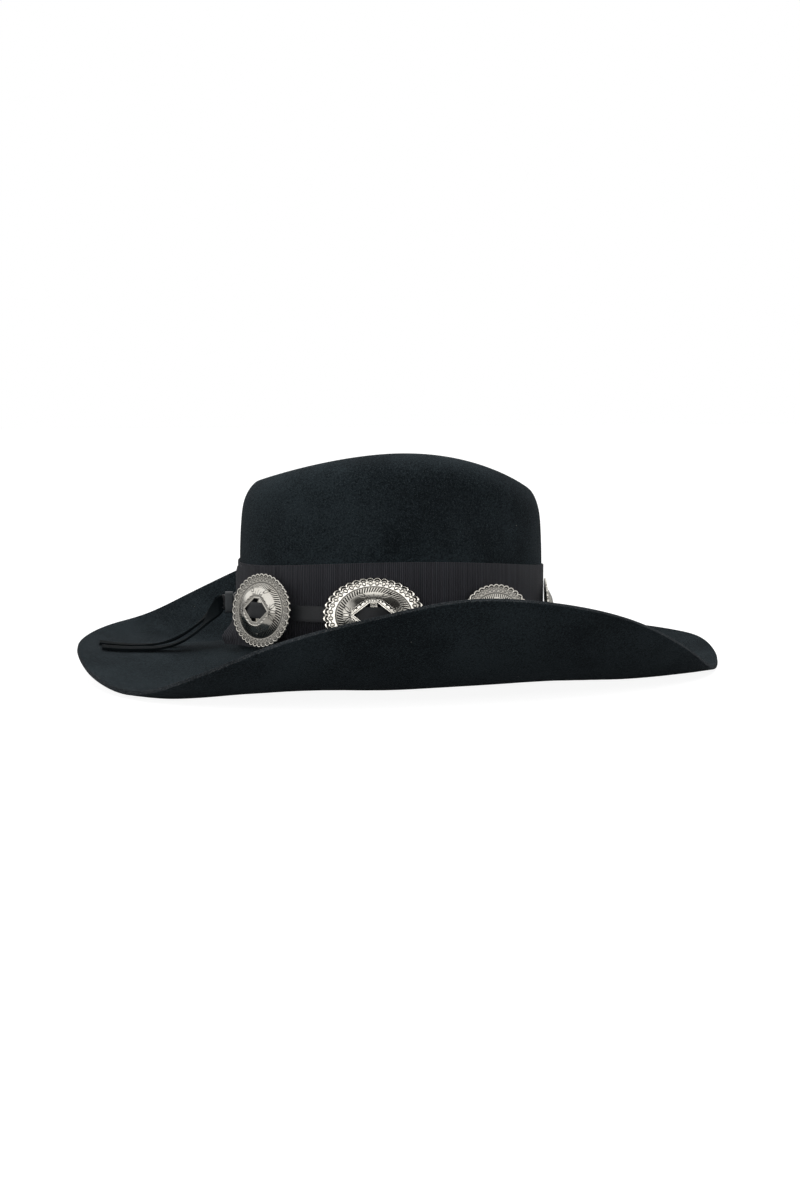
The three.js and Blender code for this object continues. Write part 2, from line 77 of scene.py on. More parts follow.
# Angles in degrees up to which two faces are shaded as one surface
SMOOTH = {"other": 40, "felt": 60, "concho": 55}

# How many places divide an oval's outline where its length is measured
CROWN_STEPS = 2881
CONCHO_STEPS = 4001

# Grosgrain ribbon: the width of one rib, and the ribbon's thickness
RIB = 0.00122
RIBBON_THICK = 0.0008

# The ribbon's free end: its grid, where it starts and ends round the crown, how far its start sinks into
# the band and over which share of it, the saw teeth of its cut, and how rays from outside find its places
TAIL_COLUMNS = 36
TAIL_ROWS = 46
TAIL_START = math.radians(-148)
TAIL_END = math.radians(-179.6)
TAIL_SINK = 0.0012
TAIL_SINK_SHARES = (0.0, 0.4)
TAIL_LAST_COLUMN = 0.999
PINKED_TOOTH = 0.0011
TAIL_MARGIN = 0.0006
TAIL_RAY_START = 0.04
TAIL_RAY_STEP = 0.01
TAIL_MERGE = 1e-5

# The strap's two loose ends lie behind this place along X, just outside the wrap. Their faces there take a
# darker copy of the leather: painted shade.
LOOSE_ENDS = -0.1205

# Conchos, in millimetres. The shares are shares of the oval: 1 is its outline and 0 its middle.
HALF_WIDTH = 31.5
HALF_HEIGHT = 23.5
PLATE = 0.9
BACK_BELOW = 0.9
DOME_FOOT = 0.75
# The dome, and the flat lip round the hole, whose edge is between two shares of the way to the dome's foot
DOME = {"height": 5.0, "power": 2.4}
LIP = {"height": 3.6, "edge": (0.2, 0.27)}
HOLE = {"half_width": 12.4, "slope_height": 9.6, "half_height": 7.4}
BAR = {"width": 4.5, "length": 30.4, "thickness": 1.2, "middle": 2.0}
BAR_EDGE_ROUND = 0.3
BAR_BEVEL_SEGMENTS = 3
CONCHO_COUNT = 7

# Scallops round the outline. Across them goes the distance from a scallop's middle, and outwards a height
# that is 0 at their foot and 2 at their tops. The radius and the middle of the arc are in that measure.
SCALLOPS = 36
COLUMNS_PER_SCALLOP = 16
SCALLOP_RADIUS = 3.1
SCALLOP_MIDDLE = -1.1
SCALLOP_FOOT = 0.925
SCALLOP_REACH = 0.075
SCALLOP_TOP = 2
SCALLOP_MARKS_FADE = (-1.2, 0.0)

# Loops of the face from the outline to the hole: how many there are down to each share
FACE_LOOPS = [(0.85, 15), (0.765, 7), (0.735, 4), (0.6, 10), (0.0, 32)]
BACK_LOOPS = 4
# The stamping is at its full depth from the second loop inside the outline
STAMPED_LOOPS = (-1, 2)
# The stampings are shallow: a share of the pattern's own depth, which the tarnish follows in full
STAMP_DEPTH = 0.34

# Stamped lines: their height over the face, which is negative where they are pressed in, how far the
# middle of the line is from what it goes round, and how far from there it has faded to about a third
SCALLOP_ARC = (0.3, 2.62, 0.4)
SCALLOP_CRESCENT = (-0.34, 1.75, 0.42)
CIRCLE = (-0.24, 1.2, 0.26)
CIRCLE_MIDDLE = (-0.1, 0.0, 0.3)
DOT = (-0.24, 0.0, 0.4)
DOME_GROOVE = (-0.16, 0.0, 0.4)
HOLE_RIM = (0.12, 0.35, 0.35)
HOLE_LINES = [(-0.1, 0.95, 0.18), (-0.07, 1.55, 0.18)]
S_LINE = (-0.22, 0.0, 0.24)
RAY_LINE = (-0.15, 0.0, 0.2)
LOOP_LINE = (-0.17, 0.0, 0.2)

# Shares of the oval at which the ring of small circles and the groove round the dome's foot go round
CIRCLES_AT = 0.85
DOME_GROOVE_AT = 0.752

# Slanting strokes round the dome: how many and how deep, the share at their middle and from there to their
# ends, how far they slant, where a stroke fades across its width, and how much of it fades at each end
ROPE_STROKES = 72
ROPE_DEPTH = 0.36
ROPE_MIDDLE = 0.672
ROPE_HALF_WIDTH = 0.066
ROPE_SLANT = 0.5
ROPE_STROKE_FADE = (0.12, 0.34)
ROPE_END_FADE = (0.0, 0.25)

# S-stamps beside the hole's slanting sides: where their row starts and ends along the side, and the gaps
# between them as shares of one stamp
S_STAMP = {"beside": 2.6, "swing": 0.55, "length": 3.3}
S_ROW_START = (-5.5, -4.9)
S_ROW_END = (8.6, 9.2)
S_GAP = (0.06, 0.14)

# Marks round the ends of the hole, in the quarter where x and y are positive: rays from a place to a place,
# and teardrop loops, each from its root in a direction in degrees
RAYS = [
    ((14.4, 1.3), (16.3, 2.5)),
    ((13.6, 1.7), (14.4, 4.6)),
    ((0.0, 8.9), (0.0, 12.9)),
    ((1.5, 8.9), (3.1, 11.9)),
    ((3.2, 8.6), (5.4, 10.3)),
]
LOOPS = [((13.6, 0.0), 0), ((13.8, 0.7), 48), ((4.6, 11.3), 20)]
LOOP = {"start": 1.0, "half_length": 2.6, "half_width": 0.95}

# Tarnish: the depth of the pattern at which it is full, how slowly it comes, and how much of it is on the
# back and on the bar
TARNISH_FULL_AT = 0.17
TARNISH_POWER = 1.1
TARNISH_BEHIND = 0.25
TARNISH_ON_BAR = 0.05

# Materials. A noise is how many to the metre, how many finer layers it has and how strong they are. A
# relief is its depth in metres and its strength. A range is the two values that turn into 0 and 1.
FELT_FACE = {
    "dark": (0.0038, 0.006, 0.0076, 1),
    "light": (0.0158, 0.0222, 0.026, 1),
    "fibre": (0.09, 0.115, 0.122, 1),
    "pale_fibres": 0.55,
}
FELT_CUT = {
    "dark": (0.004, 0.006, 0.0075, 1),
    "light": (0.022, 0.027, 0.031, 1),
    "fibre": (0.2, 0.19, 0.185, 1),
    "pale_fibres": 0.7,
}
FELT_NOISE = {"clouds": (22, 3, 0.55), "tufts": (900, 4, 0.75), "hairs": (2300, 3, 0.7)}
FELT_CLOUD_SHARE = 0.35
FELT_TUFT_SHARE = 0.65
FELT_RANGE = {"nap": (0.44, 0.57), "hairs": (0.57, 0.7)}
FELT_RELIEF = {"tufts": (0.0005, 0.9), "hairs": (0.00018, 0.8)}
FELT_SHADER = {
    "Roughness": 0.95,
    "Specular IOR Level": 0.1,
    "Sheen Weight": 0.05,
    "Sheen Roughness": 0.45,
    "Sheen Tint": (0.62, 0.72, 0.8, 1),
}
# A speck of lint reaches so far, in shares of the step between specks, and is full in its core
LINT = {"scale": 62.0, "reach": 0.03, "share": 0.6, "colour": (0.2, 0.19, 0.17, 1)}
SPECK_CORE = 0.6

# The groove colour is painted shade, darkening the grooves between the ribs
GROSGRAIN = {
    "groove": (0.011, 0.0112, 0.0138, 1),
    "dark": (0.022, 0.0226, 0.0272, 1),
    "light": (0.04, 0.0415, 0.0495, 1),
}
# Streaks are long along the ribs: so many to a rib across them, and so many to the metre along them
GROSGRAIN_STREAKS = {"across": 0.9, "along": 14.0}
GROSGRAIN_NOISE = {"streaks": (1.0, 4, 0.7), "weave": (2600, 2, 0.6)}
GROSGRAIN_RIB_SHARE = 0.35
GROSGRAIN_STREAK_SHARE = 0.65
# The tone range gives way to the rib wave over which the painted groove shade gives way to the thread
GROSGRAIN_RANGE = {"tone": (0.25, 0.75), "groove": (-1.0, 0.2)}
# In the grooves and on top of the ribs
GROSGRAIN_ROUGHNESS = (0.85, 0.55)
GROSGRAIN_RELIEF = {"ribs": (0.00016, 1.0), "weave": (0.00006, 0.7)}
GROSGRAIN_SHADER = {"Specular IOR Level": 0.2, "Sheen Weight": 0.04}
# A rib's number changes at the bottom of the groove, a quarter of a rib before the wave rises through zero
RIB_GROOVE = 0.25

STRAP_LEATHER = {
    "dark": (0.0095, 0.0105, 0.012, 1),
    "light": (0.0155, 0.0165, 0.0185, 1),
    "roughness": 0.42,
    "shine": 0.35,
}
# Painted shade: a darker, duller copy of the strap's leather for its loose ends
LOOSE_LEATHER_PAINTED_SHADE = {
    "dark": (0.0016, 0.0028, 0.0034, 1),
    "light": (0.004, 0.006, 0.0072, 1),
    "roughness": 0.8,
    "shine": 0.06,
}
# Painted light: a several times lighter copy of the strap's leather for the wrap, where it catches the
# light
WRAP_LEATHER_PAINTED_LIGHT = {
    "dark": (0.038, 0.043, 0.047, 1),
    "light": (0.06, 0.067, 0.072, 1),
    "roughness": 0.5,
    "shine": 0.35,
}
LEATHER_NOISE = {"clouds": (60, 3, 0.55), "grain": (1500, 4, 0.65)}
LEATHER_PORES = 1300.0
LEATHER_RANGE = {"clouds": (0.35, 0.65), "grain": (0.3, 0.7)}
# How much smoother and how much rougher the grain makes the leather in places
LEATHER_SMOOTHER = 0.08
LEATHER_ROUGHER = 0.1
LEATHER_RELIEF = (0.00008, 0.7)

SILVER = {
    "bright": (0.86, 0.83, 0.76, 1),
    "smeared": (0.78, 0.74, 0.66, 1),
    "tarnished": (0.015, 0.014, 0.012, 1),
}
SILVER_NOISE = {"smears": (90, 3, 0.6), "fine": (1400, 2, 0.6)}
SILVER_RANGE = {"colour": (0.35, 0.7), "gloss": (0.3, 0.7)}
SILVER_ROUGHNESS = (0.1, 0.2)
TARNISH_ROUGHNESS = 0.35
SILVER_RELIEF = {"smears": (0.0003, 0.35), "fine": (0.00002, 0.5)}

# The room's own light, and what the metal mirrors of it, from straight down to straight up: a share of the
# way and how bright it is there
ROOM = [(0.0, 0.2), (0.5, 0.25), (0.55, 0.07), (0.82, 0.08), (0.89, 1.3), (1.0, 1.3)]
MIRRORED = [(0.0, 0.1), (0.49, 0.12), (0.55, 0.06), (0.88, 0.06), (0.95, 1.05), (1.0, 1.05)]
# The pale room behind and beside the hat, as the metal mirrors it: it is darker on the camera's own side
PALE_ROOM = {
    "up": (0.52, 0.57),
    "foot": 0.2,
    "bright": 0.85,
    "frontwards": (0.2, 0.5),
    "sideways": (0.45, 0.7),
}
CAMERA_SIDE = -0.1
# A long lamp just over the floor behind the camera, and a bright wall behind the hat's back
FRONT_LAMP = {"frontwards": (0.35, 0.75), "up": 0.572, "reach": (0.052, 0.038), "bright": 2.1}
BACK_WALL = {"backwards": (0.4, 0.8), "up": (0.53, 0.64), "bright": 1.0, "foot": 0.3}
SEEN_BEHIND = 1.0

# Soft boxes, all aimed at the hat: where each is, its size and its power
SOFT_BOXES = {
    "top_box": ((0.0, -0.3, 1.8), (1.8, 1.4), 10.5),
    "front_box": ((-0.35, -2.2, 0.5), (2.2, 0.5), 7.3),
    "back_box": ((-1.9, -0.9, 1.1), (1.5, 1.3), 5),
}
SOFT_BOX_TARGET = Vector((0, 0, 0.05))

FLOOR_SIZE = 12
# The floor glows for the camera only, so that it is seen nearly white
FLOOR_GLOW = 0.9
FLOOR_SHADER = {
    "Base Color": (0.3, 0.3, 0.3, 1),
    "Roughness": 1.0,
    "Specular IOR Level": 0.0,
    "Emission Color": (1, 1, 1, 1),
}


def leave_edit():
    """Object mode with nothing selected."""
    if bpy.context.object and bpy.context.object.mode != "OBJECT":
        bpy.ops.object.mode_set(mode="OBJECT")
    bpy.ops.object.select_all(action="DESELECT")


def pick(piece):
    """Makes the piece the only selected object."""
    leave_edit()
    piece.select_set(True)
    bpy.context.view_layer.objects.active = piece


def edit(piece, action="DESELECT"):
    """Edit mode on the piece, with nothing or, by SELECT, all of it selected."""
    pick(piece)
    bpy.ops.object.mode_set(mode="EDIT")
    bpy.ops.mesh.select_all(action=action)


def choose_edges(piece, edges):
    """Edit mode on the piece, with these of its edges selected."""
    edit(piece)
    bpy.ops.mesh.select_mode(type="EDGE")
    bpy.ops.object.mode_set(mode="OBJECT")
    for index in edges:
        piece.data.edges[index].select = True
    bpy.ops.object.mode_set(mode="EDIT")


def modify(piece, kind, **settings):
    """Adds a modifier, sets it and applies it."""
    pick(piece)
    bpy.ops.object.modifier_add(type=kind)
    modifier = piece.modifiers[-1]
    for key, value in settings.items():
        setattr(modifier, key, value)
    bpy.ops.object.modifier_apply(modifier=modifier.name)


def refine(piece, rounding):
    """Subdivides the piece between its sharp edges and rounds those edges off."""
    modify(piece, "SUBSURF", levels=SUBDIVISIONS, render_levels=SUBDIVISIONS)
    modify(
        piece,
        "BEVEL",
        width=rounding,
        segments=BEVEL_SEGMENTS,
        limit_method="ANGLE",
        angle_limit=CUT_CORNER,
    )


def smooth(piece, degrees=SMOOTH["other"]):
    pick(piece)
    bpy.ops.object.shade_smooth_by_angle(angle=math.radians(degrees))
    leave_edit()


def places(piece):
    """The piece's vertices as an array, a row each."""
    points = np.empty(len(piece.data.vertices) * 3)
    piece.data.vertices.foreach_get("co", points)
    return points.reshape(-1, 3)


def put(piece, points):
    """Moves the piece's vertices to these places."""
    piece.data.vertices.foreach_set("co", np.asarray(points, float).ravel())
    piece.data.update()


def face_one_way(piece):
    """Turns all faces of the piece to the same side, which is outwards where it is closed."""
    edit(piece, "SELECT")
    bpy.ops.mesh.normals_make_consistent(inside=False)
    leave_edit()


def copy_of(node, name):
    """A merged copy of a construction node's mesh, with its triangles paired into four-sided faces."""
    piece = bpy.data.objects.new(name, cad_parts[node].data.copy())
    SCENE.collection.objects.link(piece)
    piece.data.name = name
    piece.data.materials.clear()
    pick(piece)
    if piece.data.has_custom_normals:
        bpy.ops.mesh.customdata_custom_splitnormals_clear()
    edit(piece, "SELECT")
    bpy.ops.mesh.remove_doubles(threshold=MERGE)
    bpy.ops.mesh.tris_convert_to_quads(face_threshold=math.pi, shape_threshold=math.pi)
    leave_edit()
    return piece


def crease_corners(piece):
    """Keeps the sharp edges where they are when the piece is subdivided."""
    edit(piece)
    bpy.ops.mesh.select_mode(type="EDGE")
    bpy.ops.mesh.edges_select_sharp(sharpness=CUT_CORNER)
    bpy.ops.transform.edge_crease(value=1)
    leave_edit()


def finish_piece(piece, material, node):
    """Gives the piece its material, if any, and lets it stand for its construction node."""
    if material:
        piece.data.materials.append(material)
    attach(piece, "root")
    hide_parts(node)


# Shader nodes, of a material or of the world


def new_material(name):
    material = bpy.data.materials.new(name)
    material.use_nodes = True
    return material, material.node_tree.nodes["Principled BSDF"]


def add(material, kind, inputs=None, **settings):
    """Adds a shader node. An input is a number, a colour or another node's output."""
    tree = material.node_tree
    node = tree.nodes.new("ShaderNode" + kind)
    for key, value in settings.items():
        setattr(node, key, value)
    for key, value in (inputs or {}).items():
        connect(material, value, node.inputs[key])
    return node


def connect(material, value, socket):
    """Links a node's output to the socket, or sets the socket to a plain value."""
    if isinstance(value, bpy.types.NodeSocket):
        material.node_tree.links.new(value, socket)
    else:
        socket.default_value = value


def connect_all(material, shader, values):
    for name, value in values.items():
        connect(material, value, shader.inputs[name])


def noise(material, where, scale, detail, roughness):
    return add(
        material,
        "TexNoise",
        {"Vector": where, "Scale": scale, "Detail": detail, "Roughness": roughness},
    ).outputs["Fac"]


def cell_distance(material, where, scale):
    """Distance from the nearest of many scattered points."""
    cells = add(material, "TexVoronoi", {"Vector": where, "Scale": scale}, feature="F1")
    return cells.outputs["Distance"]


def blend_colours(material, share, low, high):
    node = add(material, "Mix", {0: share}, data_type="RGBA")
    connect(material, low, node.inputs[6])
    connect(material, high, node.inputs[7])
    return node.outputs[2]


def remap(material, value, low, high, to_low=0.0, to_high=1.0):
    return add(
        material,
        "MapRange",
        {"Value": value, "From Min": low, "From Max": high, "To Min": to_low, "To Max": to_high},
    ).outputs["Result"]


def maths(material, operation, a, b=0.0):
    return add(material, "Math", {0: a, 1: b}, operation=operation).outputs[0]


def weighted_sum(material, first, first_share, second, second_share):
    return maths(
        material,
        "ADD",
        maths(material, "MULTIPLY", first, first_share),
        maths(material, "MULTIPLY", second, second_share),
    )


def bump(material, height, distance, strength, after=None):
    inputs = {"Height": height, "Distance": distance, "Strength": strength}
    if after:
        inputs["Normal"] = after
    return add(material, "Bump", inputs).outputs["Normal"]


def object_place(material):
    return add(material, "TexCoord").outputs["Object"]


def specks(material, where, scale, reach):
    """Single scattered specks: 1 at a speck and 0 between them."""
    return remap(material, cell_distance(material, where, scale), reach, reach * SPECK_CORE)


def felt_material(name, dark, light, fibre, pale_fibres):
    """Short-napped wool felt: dark matted fibres, soft clouds of nap, single paler hairs and some lint."""
    material, shader = new_material(name)
    where = object_place(material)
    clouds = noise(material, where, *FELT_NOISE["clouds"])
    tufts = noise(material, where, *FELT_NOISE["tufts"])
    hairs = noise(material, where, *FELT_NOISE["hairs"])
    mixed = weighted_sum(material, clouds, FELT_CLOUD_SHARE, tufts, FELT_TUFT_SHARE)
    nap = blend_colours(material, remap(material, mixed, *FELT_RANGE["nap"]), dark, light)
    pale = remap(material, hairs, *FELT_RANGE["hairs"], 0.0, pale_fibres)
    colour = blend_colours(material, pale, nap, fibre)
    lint = specks(material, where, LINT["scale"], LINT["reach"])
    lint = maths(material, "MULTIPLY", lint, LINT["share"])
    colour = blend_colours(material, lint, colour, LINT["colour"])
    relief = bump(material, tufts, *FELT_RELIEF["tufts"])
    relief = bump(material, hairs, *FELT_RELIEF["hairs"], relief)
    connect_all(material, shader, {"Base Color": colour, "Normal": relief, **FELT_SHADER})
    return material


def ribbon_material():
    """Grosgrain: round ribs across the ribbon, each a little lighter or darker, and grooves darkened with
    painted shade.
    """
    material, shader = new_material("grosgrain")
    across = add(material, "SeparateXYZ", {0: add(material, "UVMap", uv_map="ribbon").outputs["UV"]})
    rib_count, height = across.outputs["X"], across.outputs["Y"]
    wave = maths(material, "SINE", maths(material, "MULTIPLY", rib_count, 2 * math.pi))
    number = maths(material, "FLOOR", maths(material, "ADD", rib_count, RIB_GROOVE))
    rib_place = add(material, "CombineXYZ", {"X": number}).outputs[0]
    each_rib = add(material, "TexWhiteNoise", {"Vector": rib_place}, noise_dimensions="3D")
    stretched = add(
        material,
        "CombineXYZ",
        {
            "X": maths(material, "MULTIPLY", rib_count, GROSGRAIN_STREAKS["across"]),
            "Y": maths(material, "MULTIPLY", height, GROSGRAIN_STREAKS["along"]),
        },
    ).outputs[0]
    streaks = noise(material, stretched, *GROSGRAIN_NOISE["streaks"])
    weave = noise(material, object_place(material), *GROSGRAIN_NOISE["weave"])
    each_rib = each_rib.outputs["Value"]
    tone = weighted_sum(material, each_rib, GROSGRAIN_RIB_SHARE, streaks, GROSGRAIN_STREAK_SHARE)
    tone = remap(material, tone, *GROSGRAIN_RANGE["tone"])
    thread = blend_colours(material, tone, GROSGRAIN["dark"], GROSGRAIN["light"])
    # Painted shade: the grooves between the ribs take the darker groove colour
    out_of_painted_groove_shade = remap(material, wave, *GROSGRAIN_RANGE["groove"])
    colour = blend_colours(material, out_of_painted_groove_shade, GROSGRAIN["groove"], thread)
    roughness = remap(material, wave, -1, 1, *GROSGRAIN_ROUGHNESS)
    relief = bump(material, wave, *GROSGRAIN_RELIEF["ribs"])
    relief = bump(material, weave, *GROSGRAIN_RELIEF["weave"], relief)
    looks = {"Base Color": colour, "Roughness": roughness, "Normal": relief, **GROSGRAIN_SHADER}
    connect_all(material, shader, looks)
    return material


def leather_material(name, dark, light, roughness, shine):
    """Black leather with fine pores."""
    material, shader = new_material(name)
    where = object_place(material)
    clouds = noise(material, where, *LEATHER_NOISE["clouds"])
    grain = noise(material, where, *LEATHER_NOISE["grain"])
    pores = cell_distance(material, where, LEATHER_PORES)
    colour = blend_colours(material, remap(material, clouds, *LEATHER_RANGE["clouds"]), dark, light)
    smoother = roughness - LEATHER_SMOOTHER
    rougher = roughness + LEATHER_ROUGHER
    gloss = remap(material, grain, *LEATHER_RANGE["grain"], smoother, rougher)
    relief = bump(material, pores, *LEATHER_RELIEF)
    relief = bump(material, grain, *LEATHER_RELIEF, relief)
    looks = {"Base Color": colour, "Roughness": gloss, "Specular IOR Level": shine, "Normal": relief}
    connect_all(material, shader, looks)
    return material


def silver_material():
    """Polished nickel silver, warm, with dark tarnish left in the stampings and a few soft smears."""
    material, shader = new_material("stamped_silver")
    where = object_place(material)
    tarnish = add(material, "Attribute", attribute_name="tarnish").outputs["Fac"]
    smears = noise(material, where, *SILVER_NOISE["smears"])
    fine = noise(material, where, *SILVER_NOISE["fine"])
    smeared = remap(material, smears, *SILVER_RANGE["colour"])
    polished = blend_colours(material, smeared, SILVER["bright"], SILVER["smeared"])
    colour = blend_colours(material, tarnish, polished, SILVER["tarnished"])
    gloss = remap(material, smears, *SILVER_RANGE["gloss"], *SILVER_ROUGHNESS)
    gloss = maths(material, "ADD", gloss, maths(material, "MULTIPLY", tarnish, TARNISH_ROUGHNESS))
    relief = bump(material, smears, *SILVER_RELIEF["smears"])
    relief = bump(material, fine, *SILVER_RELIEF["fine"], relief)
    looks = {"Base Color": colour, "Metallic": 1.0, "Roughness": gloss, "Normal": relief}
    connect_all(material, shader, looks)
    return material


# Felt body


def felt_body(face, edge):
    """Crown and brim, from the construction node: smoothed, with a crisp cut edge round the brim."""
    piece = copy_of("felt_body", "felt")
    mesh = piece.data
    long_edges = [
        e.index
        for e in mesh.edges
        if (mesh.vertices[e.vertices[0]].co - mesh.vertices[e.vertices[1]].co).length > LONG_WALL_EDGE
    ]
    choose_edges(piece, long_edges)
    bpy.ops.mesh.subdivide(number_cuts=LONG_EDGE_CUTS)
    crease_corners(piece)
    creased = [e.index for e in mesh.edges if mesh.attributes["crease_edge"].data[e.index].value > 0.5]
    mesh.materials.append(face)
    mesh.materials.append(edge)
    edge_keys = {mesh.edges[index].key for index in creased}
    for polygon in mesh.polygons:
        if sum(key in edge_keys for key in polygon.edge_keys) >= 2:
            polygon.material_index = 1
    refine(piece, FELT_EDGE_ROUND)
    smooth(piece, SMOOTH["felt"])
    finish_piece(piece, None, "felt_body")


# Ribbon


def round_oval(half_x, half_y, count):
    """Angles round an oval, and how long its outline is up to each of them."""
    angles = np.linspace(0, 2 * math.pi, count)
    speed = np.hypot(half_x * np.sin(angles), half_y * np.cos(angles))
    lengths = np.concatenate([[0], np.cumsum((speed[1:] + speed[:-1]) / 2 * np.diff(angles))])
    return angles, lengths


class Oval:
    """The crown's oval at its foot, measured from the band that lies round it."""

    def __init__(self):
        low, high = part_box("ribbon_band")
        self.x = (low.x + high.x) / 2
        self.half_length = (high.x - low.x) / 2
        self.half_width = (high.y - low.y) / 2
        self.angles, self.lengths = round_oval(self.half_length, self.half_width, CROWN_STEPS)
        self.girth = self.lengths[-1]

    def angle(self, x, y):
        return np.arctan2(y / self.half_width, (x - self.x) / self.half_length)

    def length_at(self, angle):
        return np.interp(np.mod(angle, 2 * math.pi), self.angles, self.lengths)

    def outward(self, angle):
        way = Vector((self.half_width * math.cos(angle), self.half_length * math.sin(angle), 0))
        return way.normalized()

    def point(self, angle, beside, z):
        """A place at this height and this far outside the oval."""
        x = self.x + self.half_length * math.cos(angle)
        y = self.half_width * math.sin(angle)
        return Vector((x, y, z)) + self.outward(angle) * beside


OVAL = Oval()
RIBS_ROUND = round(OVAL.girth / RIB)


def rib_map(piece):
    """A UV map whose U counts the ribs round the crown and whose V is the height in metres."""
    mesh = piece.data
    points = places(piece)
    corners = np.empty(len(mesh.loops), int)
    mesh.loops.foreach_get("vertex_index", corners)
    counts = OVAL.length_at(OVAL.angle(points[:, 0], points[:, 1])) / OVAL.girth * RIBS_ROUND
    u = counts[corners]
    for polygon in mesh.polygons:
        own = slice(polygon.loop_start, polygon.loop_start + polygon.loop_total)
        if u[own].max() - u[own].min() > RIBS_ROUND / 2:
            u[own] = np.where(u[own] < RIBS_ROUND / 2, u[own] + RIBS_ROUND, u[own])
    layer = mesh.uv_layers.new(name="ribbon")
    layer.data.foreach_set("uv", np.column_stack([u, points[corners, 2]]).ravel())


def ribbon_band(material):
    piece = copy_of("ribbon_band", "ribbon")
    crease_corners(piece)
    refine(piece, RIBBON_EDGE_ROUND)
    smooth(piece)
    rib_map(piece)
    finish_piece(piece, material, "ribbon_band")


def tree_of(node):
    """The construction node's surface, for finding where a ray meets it."""
    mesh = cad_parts[node].data
    return BVHTree.FromPolygons([v.co for v in mesh.vertices], [p.vertices for p in mesh.polygons])


def tail_place(surface, low, high, angle, up):
    """Where the surface is at an angle and a share of its height, or at the nearest height that it has."""
    step = TAIL_RAY_STEP if up < 0.5 else -TAIL_RAY_STEP
    height = up
    while 0 <= height <= 1:
        z = low + TAIL_MARGIN + (high - low - 2 * TAIL_MARGIN) * height
        hit = surface.ray_cast(OVAL.point(angle, TAIL_RAY_START, z), -OVAL.outward(angle))[0]
        if hit is not None:
            return hit
        height += step
    raise ValueError(f"the ribbon's end misses the surface at {math.degrees(angle):.1f} degrees")


def ribbon_end(material):
    """The ribbon's free end: a sheet laid on the construction node's outer face, with a pinked cut."""
    low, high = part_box("ribbon_tail")
    surface = tree_of("ribbon_tail")
    bpy.ops.mesh.primitive_grid_add(x_subdivisions=TAIL_COLUMNS, y_subdivisions=TAIL_ROWS, size=1)
    piece = bpy.context.object
    piece.name = piece.data.name = "ribbon_end"
    points = places(piece)
    for index, (across, up, _) in enumerate(points + 0.5):
        angle = TAIL_START + (TAIL_END - TAIL_START) * across
        if across > TAIL_LAST_COLUMN and round(up * TAIL_ROWS) % 2:
            angle += PINKED_TOOTH / OVAL.half_width
        sink = TAIL_SINK * float(1 - fade(across, *TAIL_SINK_SHARES))
        points[index] = tail_place(surface, low.z, high.z, angle, up) - OVAL.outward(angle) * sink
    put(piece, points)
    edit(piece, "SELECT")
    bpy.ops.mesh.remove_doubles(threshold=TAIL_MERGE)
    face_one_way(piece)
    modify(piece, "SOLIDIFY", thickness=RIBBON_THICK, offset=-1)
    smooth(piece)
    rib_map(piece)
    finish_piece(piece, material, "ribbon_tail")


# Leather


def leather_piece(node, name, material, painted_shade_material=None):
    """A strap or wrap with rounded edges. Its faces behind the wrap take the second leather, if one is
    given: a darker copy that paints shade on the loose ends.
    """
    piece = copy_of(node, name)
    crease_corners(piece)
    refine(piece, LEATHER_EDGE_ROUND)
    smooth(piece)
    finish_piece(piece, material, node)
    if painted_shade_material:
        # Painted shade: the loose ends' faces take the darker copy of the leather
        piece.data.materials.append(painted_shade_material)
        for polygon in piece.data.polygons:
            polygon.material_index = int(polygon.center.x < LOOSE_ENDS)


# Conchos. Sizes here are in millimetres, in the concho's own frame: X along its width, Z out of its face.


def fade(value, low, high):
    """0 below low, 1 above high and a smooth step between them."""
    share = np.clip((value - low) / (high - low), 0, 1)
    return share * share * (3 - 2 * share)


def mark(distance, line):
    """Height of a stamped line, at a distance from what the line goes round."""
    height, middle, half_width = line
    return height * np.exp(-(((distance - middle) / half_width) ** 2))


def to_segment(x, y, start, end):
    """Distance of each place from a straight line between two points."""
    (ax, ay), (bx, by) = start, end
    length = (bx - ax) ** 2 + (by - ay) ** 2
    share = np.clip(((x - ax) * (bx - ax) + (y - ay) * (by - ay)) / length, 0, 1)
    return np.hypot(x - ax - share * (bx - ax), y - ay - share * (by - ay))


def oval_turns(columns):
    """Angles that divide the concho's outline into equal lengths, and how much outline a scallop has."""
    angles, lengths = round_oval(HALF_WIDTH, HALF_HEIGHT, CONCHO_STEPS)
    even = np.arange(columns) / columns * lengths[-1]
    return np.interp(even, lengths, angles), lengths[-1] / SCALLOPS


def hole_share(turn):
    """Share of the oval at which the hole's edge is."""
    x = HALF_WIDTH * np.abs(np.cos(turn))
    y = HALF_HEIGHT * np.abs(np.sin(turn))
    slope = x / HOLE["half_width"] + y / HOLE["slope_height"]
    return 1 / np.maximum(slope, y / HOLE["half_height"])


def face_height(share, turn):
    """Height of the plain face: a flat rim, a dome, and a flat lip round the hole."""
    hole = hole_share(turn)
    beyond_lip = fade((share - hole) / (DOME_FOOT - hole), *LIP["edge"])
    dome = DOME["height"] * (1 - np.clip(share / DOME_FOOT, 0, 1) ** DOME["power"])
    return PLATE + LIP["height"] + (dome - LIP["height"]) * beyond_lip


def scallop_top(u):
    """How far out the outline goes at a distance u from the middle of a scallop."""
    return SCALLOP_MIDDLE + np.sqrt(np.clip(SCALLOP_RADIUS**2 - u * u, 0, None))


